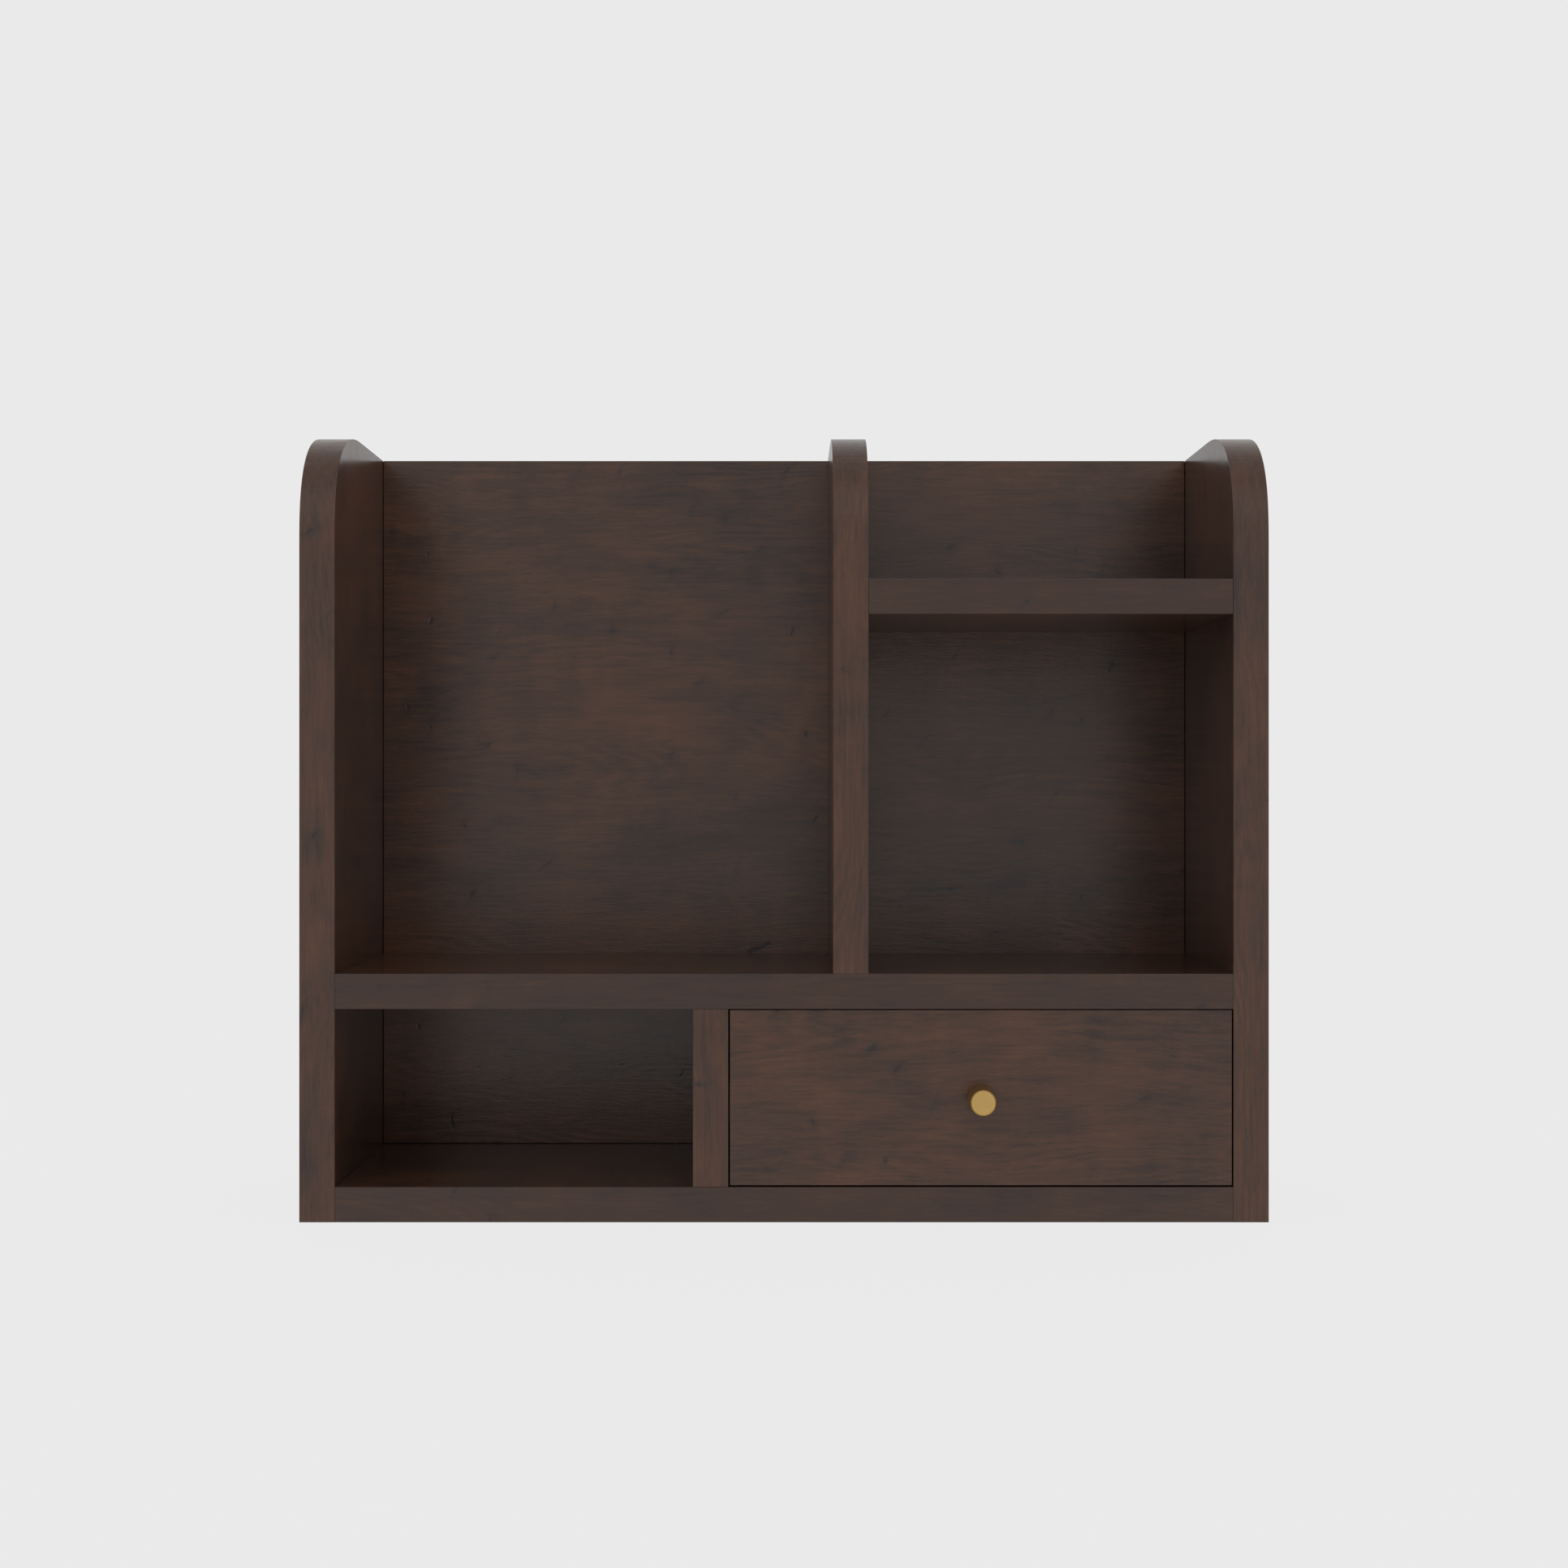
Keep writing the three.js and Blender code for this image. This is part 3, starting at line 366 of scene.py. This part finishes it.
STEEL_COLOURS = (0.50, 0.51, 0.52), (0.59, 0.6018, 0.6136)
STEEL_ROUGHNESS = (0.23, 0.39)
COAT_COLOURS = (0.012, 0.012, 0.013), (0.030, 0.029, 0.029)
COAT_ROUGHNESS = (0.36, 0.52)
ZINC_COLOURS = (0.28, 0.285, 0.29), (0.42, 0.425, 0.43)
ZINC_ROUGHNESS = (0.42, 0.60)
BEECH_COLOURS = (0.50, 0.33, 0.18), (0.66, 0.47, 0.28)
BEECH_ROUGHNESS = 0.75
HARDBOARD_COLOURS = (0.065, 0.042, 0.030), (0.150, 0.100, 0.068)
HARDBOARD_ROUGHNESS = (0.50, 0.66)
HARDBOARD_STAIN = (0.09, 0.062, 0.046)
HARDBOARD_STAIN_SHARE = 0.4
BRASS_COLOURS = (0.529, 0.341, 0.119), (0.611, 0.392, 0.144)
BRASS_ROUGHNESS = (0.30, 0.40)
BRASS_RINGS_PER_METRE = 5200.0

FINE_RELIEF = 0.02 * MM
GRIT_RELIEF = 0.04 * MM
BARE_WOOD_RELIEF = 0.05 * MM


def bright_steel(name):
    """Zinc-plated steel, faintly clouded, with fine marks drawn along Z."""
    graph = Graph(name)
    drawn = graph.speckle(900, 900, 60, detail=3)
    cloud = graph.speckle(90, 90, 90)
    return graph.finish(
        Base_Color=graph.mix(cloud, *STEEL_COLOURS),
        Metallic=1.0,
        Roughness=graph.remap(drawn, 0.2, 0.8, *STEEL_ROUGHNESS, smooth=False),
        Normal=graph.bump(drawn, 0.2, FINE_RELIEF),
    )


def black_coat(name):
    """Steel under a thin black electrocoat: an even sheen, a faint orange peel, paler where it has rubbed."""
    graph = Graph(name)
    peel = graph.speckle(1100, 1100, 1100)
    cloud = graph.speckle(70, 70, 70, detail=3)
    drag = graph.speckle(900, 45, 900, detail=3)
    rubbed = graph.remap(graph.math("ADD", cloud, drag), 1.05, 1.35, 0.0, 0.7)
    return graph.finish(
        Base_Color=graph.mix(rubbed, *COAT_COLOURS),
        Roughness=graph.remap(graph.math("ADD", peel, drag), 0.6, 1.4, *COAT_ROUGHNESS, smooth=False),
        Normal=graph.bump(peel, 0.25, FINE_RELIEF),
    )


def cast_zinc(name):
    """Dull die-cast zinc with the grit of its mould."""
    graph = Graph(name)
    grit = graph.speckle(1400, 1400, 1400, detail=3)
    return graph.finish(
        Base_Color=graph.mix(grit, *ZINC_COLOURS),
        Metallic=1.0,
        Roughness=graph.remap(grit, 0.3, 0.7, *ZINC_ROUGHNESS, smooth=False),
        Normal=graph.bump(grit, 0.4, GRIT_RELIEF),
    )


def beech(name):
    """Bare beech, its fibres along Z as in an upright dowel."""
    graph = Graph(name)
    lines = graph.speckle(700, 700, 60)
    return graph.finish(
        Base_Color=graph.mix(lines, *BEECH_COLOURS),
        Roughness=BEECH_ROUGHNESS,
        Normal=graph.bump(lines, 0.3, BARE_WOOD_RELIEF),
    )


def hardboard(name):
    """Pressed brown board, speckled all over, with broad faint stains."""
    graph = Graph(name)
    speck = graph.speckle(900, 900, 900, detail=4, roughness=0.7)
    cloud = graph.speckle(25, 25, 25)
    stained = graph.math("MULTIPLY", cloud, HARDBOARD_STAIN_SHARE)
    return graph.finish(
        Base_Color=graph.mix(stained, graph.mix(speck, *HARDBOARD_COLOURS), HARDBOARD_STAIN),
        Roughness=graph.remap(speck, 0.3, 0.7, *HARDBOARD_ROUGHNESS, smooth=False),
        Normal=graph.bump(speck, 0.25, BARE_WOOD_RELIEF),
    )


def brass(name):
    """Satin brass with fine rings left by turning, centred on the knob's axis."""
    graph = Graph(name)
    centred = graph.vector("SUBTRACT", graph.position, tuple(KNOB_CENTRE))
    radius = graph.vector("LENGTH", graph.vector("MULTIPLY", centred, (1, 0, 1)))
    sweep = graph.math("ADD", radius, graph.parts(centred)["Y"])
    rings = graph.node("ShaderNodeTexNoise", {
        "W": graph.math("MULTIPLY", sweep, BRASS_RINGS_PER_METRE), "Scale": 1.0, "Detail": 3.0,
    }, noise_dimensions="1D").outputs["Fac"]
    haze = graph.speckle(160, 160, 160, detail=3)
    return graph.finish(
        Base_Color=graph.mix(haze, *BRASS_COLOURS),
        Metallic=1.0,
        Roughness=graph.remap(graph.math("ADD", haze, rings), 0.6, 1.4, *BRASS_ROUGHNESS, smooth=False),
        Normal=graph.bump(rings, 0.12, FINE_RELIEF),
    )


# ---------------------------------------------------------------- finish of the CAD nodes

WELD_REACH = 0.01 * MM
ARRIS_SEGMENTS = 2
ARRIS_ANGLE = math.radians(35)
BOARD_ARRIS = 0.5 * MM
DRAWER_BOX_ARRIS = 0.4 * MM
THIN_PANEL_ARRIS = 0.3 * MM
METAL_ARRIS = 0.2 * MM
BOLT_ARRIS = 0.12 * MM


def dress(node, material):
    """Gives a CAD node this one material, and returns the node."""
    ob = NODES[node]
    ob.data.materials.clear()
    ob.data.materials.append(material)
    return ob


def soften(ob, width):
    """Welds a node's vertices and rounds its arrises by width, with hardened normals."""
    weld = ob.modifiers.new("weld", "WELD")
    weld.merge_threshold = WELD_REACH
    bevel = ob.modifiers.new("arris", "BEVEL")
    bevel.width = width
    bevel.segments = ARRIS_SEGMENTS
    bevel.limit_method = "ANGLE"
    bevel.angle_limit = ARRIS_ANGLE
    bevel.harden_normals = True
    bevel.use_clamp_overlap = True


# Each board's grain direction, the place in the log that it was cut from, and how warm its stain came out
# on its faces and, where that differs, on its front edge.
BOARD_GRAIN = {
    "left_side_panel": ("z", (17.0, 7.8, 5.2), 0.52),
    "right_side_panel": ("z", (7.9, 1.4, 6.2), 0.54),
    "bottom_panel": ("x", (11.9, 2.6, 5.8), BROWN, 0.13),
    "middle_shelf": ("x", (5.2, 8.1, 3.3), BROWN, SMOKY),
    "lower_divider": ("z", (9.3, 1.8, 7.7), 0.54),
    "upper_divider": ("z", (13.7, 5.5, 4.1), 0.54),
    "upper_shelf": ("x", (4.4, 7.9, 8.6), 0.62, SMOKY),
    "back_panel": ("x", (15.5, 10.9, 12.2), 0.48, None, BACK_PANEL_CENTRE),
    "drawer_front": ("x", (21.0, 8.8, 11.5), 0.42),
}

DRAWER_BOX_GRAIN = {
    "drawer_box_front": ("x", (21.2, 3.5, 1.7)),
    "drawer_box_back": ("x", (23.8, 7.3, 8.2)),
    "drawer_left_side": ("y", (25.4, 2.1, 4.6)),
    "drawer_right_side": ("y", (27.9, 5.9, 3.8)),
}
DRAWER_BOX_WARMTH = 0.55


def finish_boards():
    for node, veneer in BOARD_GRAIN.items():
        ends = [corner.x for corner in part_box(node)]
        soften(dress(node, walnut("walnut_" + node, *veneer, ends=ends)), BOARD_ARRIS)


def finish_drawer_box():
    for node, (axis, start) in DRAWER_BOX_GRAIN.items():
        material = walnut("walnut_" + node, axis, start, DRAWER_BOX_WARMTH)
        soften(dress(node, material), DRAWER_BOX_ARRIS)
    soften(dress("drawer_bottom", hardboard("hardboard")), THIN_PANEL_ARRIS)


def finish_fittings(screw_steel):
    """Slides, cams, cam bolts and dowels. The screws are replaced further down."""
    rail_steel = black_coat("rail_steel")
    zinc = cast_zinc("cast_zinc")
    dowel_wood = beech("beech")
    for node in NODES:
        if node.endswith(("_rail", "_cage")):
            soften(dress(node, rail_steel), METAL_ARRIS)
        elif node.endswith("_bolt"):
            soften(dress(node, screw_steel), BOLT_ARRIS)
        elif node.endswith("_cam"):
            soften(dress(node, zinc), METAL_ARRIS)
        elif node.endswith("_dowel"):
            dress(node, dowel_wood)


# ---------------------------------------------------------------- knob
# The rim is a quarter of an ellipse, a little longer down the side than across the face.

KNOB_RIM_WIDTH = 3.0 * MM
KNOB_RIM_DEPTH = 4.0 * MM
KNOB_FOOT_CHAMFER = 0.3 * MM
KNOB_SIDES = 96
RIM_STEPS = 10


def turned_mesh(name, profile, sides):
    """A closed turned body about +Z. profile holds (radius, height) pairs, at radius 0 first and last."""
    mesh = bmesh.new()
    rings = []
    for radius, height in profile:
        if radius == 0:
            rings.append([mesh.verts.new((0, 0, height))])
            continue
        angles = [math.tau * side / sides for side in range(sides)]
        rings.append([
            mesh.verts.new((radius * math.cos(angle), radius * math.sin(angle), height)) for angle in angles
        ])
    for first, second in zip(rings, rings[1:]):
        for side in range(sides):
            following = (side + 1) % sides
            corners = [first[side % len(first)], first[following % len(first)],
                       second[following % len(second)], second[side % len(second)]]
            mesh.faces.new(list(dict.fromkeys(corners)))
    bmesh.ops.recalc_face_normals(mesh, faces=mesh.faces)
    data = bpy.data.meshes.new(name)
    mesh.to_mesh(data)
    mesh.free()
    data.shade_smooth()
    return data


def place_piece(name, data, start, direction, material, node, body):
    """Puts a piece made about +Z at start, turned to point along direction, in place of a CAD node."""
    turn = Vector((0, 0, 1)).rotation_difference(direction).to_matrix().to_4x4()
    data.transform(Matrix.Translation(start) @ turn)
    piece = bpy.data.objects.new(name, data)
    bpy.context.scene.collection.objects.link(piece)
    data.materials.append(material)
    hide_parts(node)
    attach(piece, body)


def make_knob():
    radius = (KNOB_HIGH.x - KNOB_LOW.x) / 2
    length = FRONT_Y - KNOB_LOW.y
    profile = [(0, 0), (radius - KNOB_FOOT_CHAMFER, 0), (radius, KNOB_FOOT_CHAMFER)]
    for step in range(RIM_STEPS + 1):
        angle = math.pi / 2 * step / RIM_STEPS
        profile.append((
            radius - KNOB_RIM_WIDTH * (1 - math.cos(angle)),
            length - KNOB_RIM_DEPTH * (1 - math.sin(angle)),
        ))
    profile.append((0, length))
    data = turned_mesh("brass_knob", profile, KNOB_SIDES)
    start = Vector((KNOB_CENTRE.x, FRONT_Y, KNOB_CENTRE.z))
    place_piece("brass_knob", data, start, FORWARD, brass("brass"), "knob", "drawer")


# ---------------------------------------------------------------- screws
# Each replaces the plain screw of the same name, and takes its place, length and head size from its box.
# Sizes are shares of the head's radius. POINT_SHARE is of the shank's radius, RECESS_TAPER of the cross.

SCREW_SIDES = 40
SHANK_SHARE = 0.5
POINT_SHARE = 1.4
# Across and down, from the middle of a countersunk head's flat top to its shank.
FLAT_HEAD = ((0, 0), (0.94, 0), (1, 0.05), (1, 0.12), (0.54, 0.5), (SHANK_SHARE, 0.62))
ROUND_HEAD_SHARE = 0.65
DOME_STEPS = 6
RECESS_REACH = 0.52
RECESS_WING = 0.13
RECESS_DEPTH = 0.55
RECESS_TAPER = 0.45
TOOL_OVERSHOOT = 0.1
SHARP_ANGLE = math.radians(30)


def flat_head(radius):
    """Profile of a countersunk head, from its flat top down to the shank."""
    return [(radius * across, radius * down) for across, down in FLAT_HEAD]


def round_head(radius):
    """Profile of a domed head that stands on its washer-flat underside."""
    height = radius * ROUND_HEAD_SHARE
    dome = []
    for step in range(DOME_STEPS + 1):
        angle = math.pi / 2 * (1 - step / DOME_STEPS)
        dome.append((radius * math.cos(angle), height * (1 - math.sin(angle))))
    return [(0, 0), *dome[1:], (radius * SHANK_SHARE, height)]


def cross_tool(radius):
    """A tapering cross, the shape that a screwdriver's tip leaves in the head."""
    reach, wing = radius * RECESS_REACH, radius * RECESS_WING
    corners = []
    for quarter in range(4):
        turn = Matrix.Rotation(-math.pi / 2 * quarter, 2)
        corners.extend(turn @ Vector(corner) for corner in ((wing, wing), (reach, wing), (reach, -wing)))
    mesh = bmesh.new()
    top = [mesh.verts.new((x, y, -radius * TOOL_OVERSHOOT)) for x, y in corners]
    foot = [
        mesh.verts.new((x * RECESS_TAPER, y * RECESS_TAPER, radius * RECESS_DEPTH)) for x, y in corners
    ]
    mesh.faces.new(top)
    mesh.faces.new(foot[::-1])
    for index in range(len(corners)):
        following = (index + 1) % len(corners)
        mesh.faces.new((top[index], foot[index], foot[following], top[following]))
    bmesh.ops.recalc_face_normals(mesh, faces=mesh.faces)
    data = bpy.data.meshes.new("cross_tool")
    mesh.to_mesh(data)
    mesh.free()
    return data


def carve(data, tool):
    """The mesh with the tool's shape cut out of it."""
    body = bpy.data.objects.new(data.name, data)
    cutter = bpy.data.objects.new(tool.name, tool)
    for ob in (body, cutter):
        bpy.context.scene.collection.objects.link(ob)
    boolean = body.modifiers.new("recess", "BOOLEAN")
    boolean.operation = "DIFFERENCE"
    boolean.solver = "EXACT"
    boolean.object = cutter
    carved = bpy.data.meshes.new_from_object(body.evaluated_get(bpy.context.evaluated_depsgraph_get()))
    for ob in (body, cutter):
        bpy.data.objects.remove(ob)
    carved.shade_smooth()
    carved.set_sharp_from_angle(angle=SHARP_ANGLE)
    return carved


def make_screw(node, direction, head, body, material):
    """Puts a finer screw in a CAD screw's place, with its point towards direction."""
    low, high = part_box(node)
    size = high - low
    along = max(range(3), key=lambda axis: abs(direction[axis]))
    start = (low + high) / 2
    start[along] = low[along] if direction[along] > 0 else high[along]
    radius = max(size[axis] for axis in range(3) if axis != along) / 2
    length = size[along]
    shank = radius * SHANK_SHARE
    profile = [*head(radius), (shank, length - shank * POINT_SHARE), (0, length)]
    data = carve(turned_mesh(node, profile, SCREW_SIDES), cross_tool(radius))
    place_piece("fine_" + node, data, start, direction, material, node, body)


def make_screws(material):
    """Points every screw from its head into the board or rail that it holds."""
    upward, left, right = Vector((0, 0, 1)), Vector((-1, 0, 0)), Vector((1, 0, 0))
    for node in NODES:
        if node.endswith("back_screw"):
            make_screw(node, FORWARD, flat_head, "carcass", material)
        elif "divider" in node and node.endswith("_screw"):
            make_screw(node, upward, flat_head, "carcass", material)
        elif node == "knob_screw" or node.startswith("drawer_front_"):
            make_screw(node, FORWARD, round_head, "drawer", material)
        elif "cabinet_rail_" in node:
            outward = left if node.startswith("left") else right
            make_screw(node, outward, flat_head, "carcass", material)
        elif "drawer_rail_" in node:
            inward = right if node.startswith("left") else left
            make_screw(node, inward, round_head, "drawer", material)


# ---------------------------------------------------------------- studio

BACKDROP = 0.823
# Light by direction, from straight in front of the hutch (0) to straight behind it (1), for directions that
# pass it at the sides and for those that pass above or below.
SIDE_LIGHT = (
    (0.022, 0.70), (0.055, 0.95), (0.150, 0.94), (0.240, 0.50), (0.500, 0.40), (0.800, 0.66),
)
TOP_LIGHT = (
    (0.022, 0.70), (0.055, 0.88), (0.150, 0.83), (0.240, 0.66), (0.500, 0.64), (0.800, 0.72),
)
FLOOR_RADIUS = 12.0
FLOOR_SIDES = 64
FLOOR_GAP = 0.3 * MM
# The floor glows at the backdrop's level, apart from a small matte share near the hutch, which takes its
# shadow. The share fades out between the two distances of SHADOW_REACH, and FLOOR_LIGHT is what falls on it.
SHADOW_SHARE = 0.05
SHADOW_REACH = (0.55, 1.3)
FLOOR_LIGHT = 0.60


def make_floor():
    """A pale sweep at the backdrop's own brightness, with a trace of contact shadow near the hutch."""
    mesh = bmesh.new()
    bmesh.ops.create_circle(mesh, cap_ends=True, radius=FLOOR_RADIUS, segments=FLOOR_SIDES)
    data = bpy.data.meshes.new("studio_floor")
    mesh.to_mesh(data)
    mesh.free()
    floor = bpy.data.objects.new("studio_floor", data)
    floor.location = (0, 0, BASE_Z - FLOOR_GAP)
    floor.visible_diffuse = False
    floor.visible_glossy = False
    floor.visible_shadow = False
    bpy.context.scene.collection.objects.link(floor)

    graph = Graph("studio_floor")
    away = graph.vector("LENGTH", graph.position)
    share = graph.remap(away, *SHADOW_REACH, SHADOW_SHARE, 0.0)
    glow_level = graph.remap(away, *SHADOW_REACH, BACKDROP - SHADOW_SHARE * FLOOR_LIGHT, BACKDROP)
    glow = graph.node("ShaderNodeEmission", {"Color": (1, 1, 1, 1), "Strength": glow_level})
    matte = graph.node("ShaderNodeBsdfDiffuse", {"Color": share})
    both = graph.node("ShaderNodeAddShader", {0: glow.outputs[0], 1: matte.outputs[0]})
    data.materials.append(graph.output(both))


def make_world():
    """An even pale backdrop, and a broad soft light round the camera, dimmer at the two sides."""
    world = bpy.data.worlds.new("studio")
    bpy.context.scene.world = world
    graph = Graph(world)
    parts = graph.parts(graph.node("ShaderNodeTexCoord").outputs["Generated"])
    behind = graph.math("ADD", graph.math("MULTIPLY", parts["Y"], 0.5), 0.5)
    across = graph.math("MULTIPLY", parts["X"], parts["X"])
    upright = graph.math("MULTIPLY", parts["Z"], parts["Z"])
    height = graph.math("DIVIDE", upright, graph.math("ADD", across, upright))
    studio = graph.mix(height, graph.ramp(behind, SIDE_LIGHT), graph.ramp(behind, TOP_LIGHT))
    camera_ray = graph.node("ShaderNodeLightPath").outputs["Is Camera Ray"]
    light = graph.node("ShaderNodeBackground", {"Color": graph.mix(camera_ray, studio, (BACKDROP,) * 3)})
    graph.output(light, "ShaderNodeOutputWorld")
    bpy.context.scene.view_settings.view_transform = "Standard"


# ---------------------------------------------------------------- assembly

make_camera()
finish_boards()
finish_drawer_box()
screw_steel = bright_steel("screw_steel")
finish_fittings(screw_steel)
make_knob()
make_screws(screw_steel)
make_floor()
make_world()
